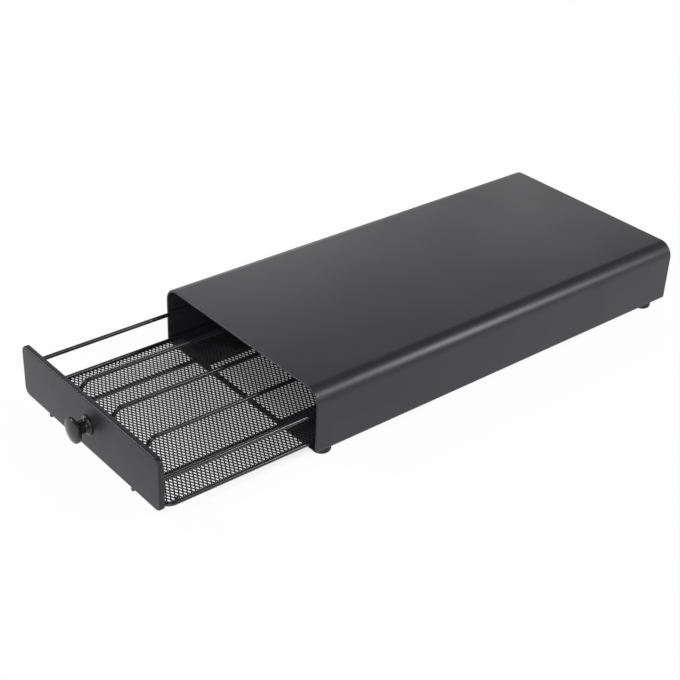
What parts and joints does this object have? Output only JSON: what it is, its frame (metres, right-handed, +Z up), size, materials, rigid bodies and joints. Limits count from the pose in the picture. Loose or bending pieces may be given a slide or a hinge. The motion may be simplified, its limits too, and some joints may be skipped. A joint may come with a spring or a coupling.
{
  "type": "coffee pod drawer",
  "caption": "Low steel stand with a mesh-floored wire drawer that slides out of its mouth on two runner wires; rows of coffee capsules stand between raised divider wires.",
  "frame": {"origin": "on the floor, under the middle of the whole piece's box with the drawer part open as modelled", "axes": "+X to the right seen from the front, +Y from the mouth to the back along the drawer's travel, +Z up"},
  "size_m": [0.19, 0.5312, 0.0568],
  "materials": {
    "casing_powder_coat": "satin black powder coat with a fine grain",
    "front_powder_coat": "satin black powder coat with a fine grain",
    "wire_powder_coat": "satin black powder coat on drawn wire",
    "mesh_powder_coat": "satin black powder coat on expanded steel",
    "knob_enamel": "semi-gloss black paint",
    "screw_steel": "zinc-plated steel",
    "foot_rubber": "matt black rubber"
  },
  "bodies": {
    "casing": {"casing_cover": "casing_powder_coat", "casing_back": "casing_powder_coat", "front_cross_strip": "casing_powder_coat", "foot_front_left": "foot_rubber", "foot_front_right": "foot_rubber", "foot_rear_left": "foot_rubber", "foot_rear_right": "foot_rubber"},
    "drawer": {"drawer_front": "front_powder_coat", "knob": "knob_enamel", "knob_washer": "screw_steel", "knob_screw": "screw_steel", "bottom_frame": "wire_powder_coat", "upper_rail": "wire_powder_coat", "mesh_floor": "mesh_powder_coat", "rear_post_left": "wire_powder_coat", "rear_post_right": "wire_powder_coat", "runner_left": "wire_powder_coat", "runner_right": "wire_powder_coat", "divider_left": "wire_powder_coat", "divider_centre": "wire_powder_coat", "divider_right": "wire_powder_coat"}
  },
  "joints": [
    {"name": "drawer_slide", "type": "slide", "parent": "casing", "child": "drawer", "axis": [0, -1, 0], "range_m": [-0.129, 0.12]}
  ]
}
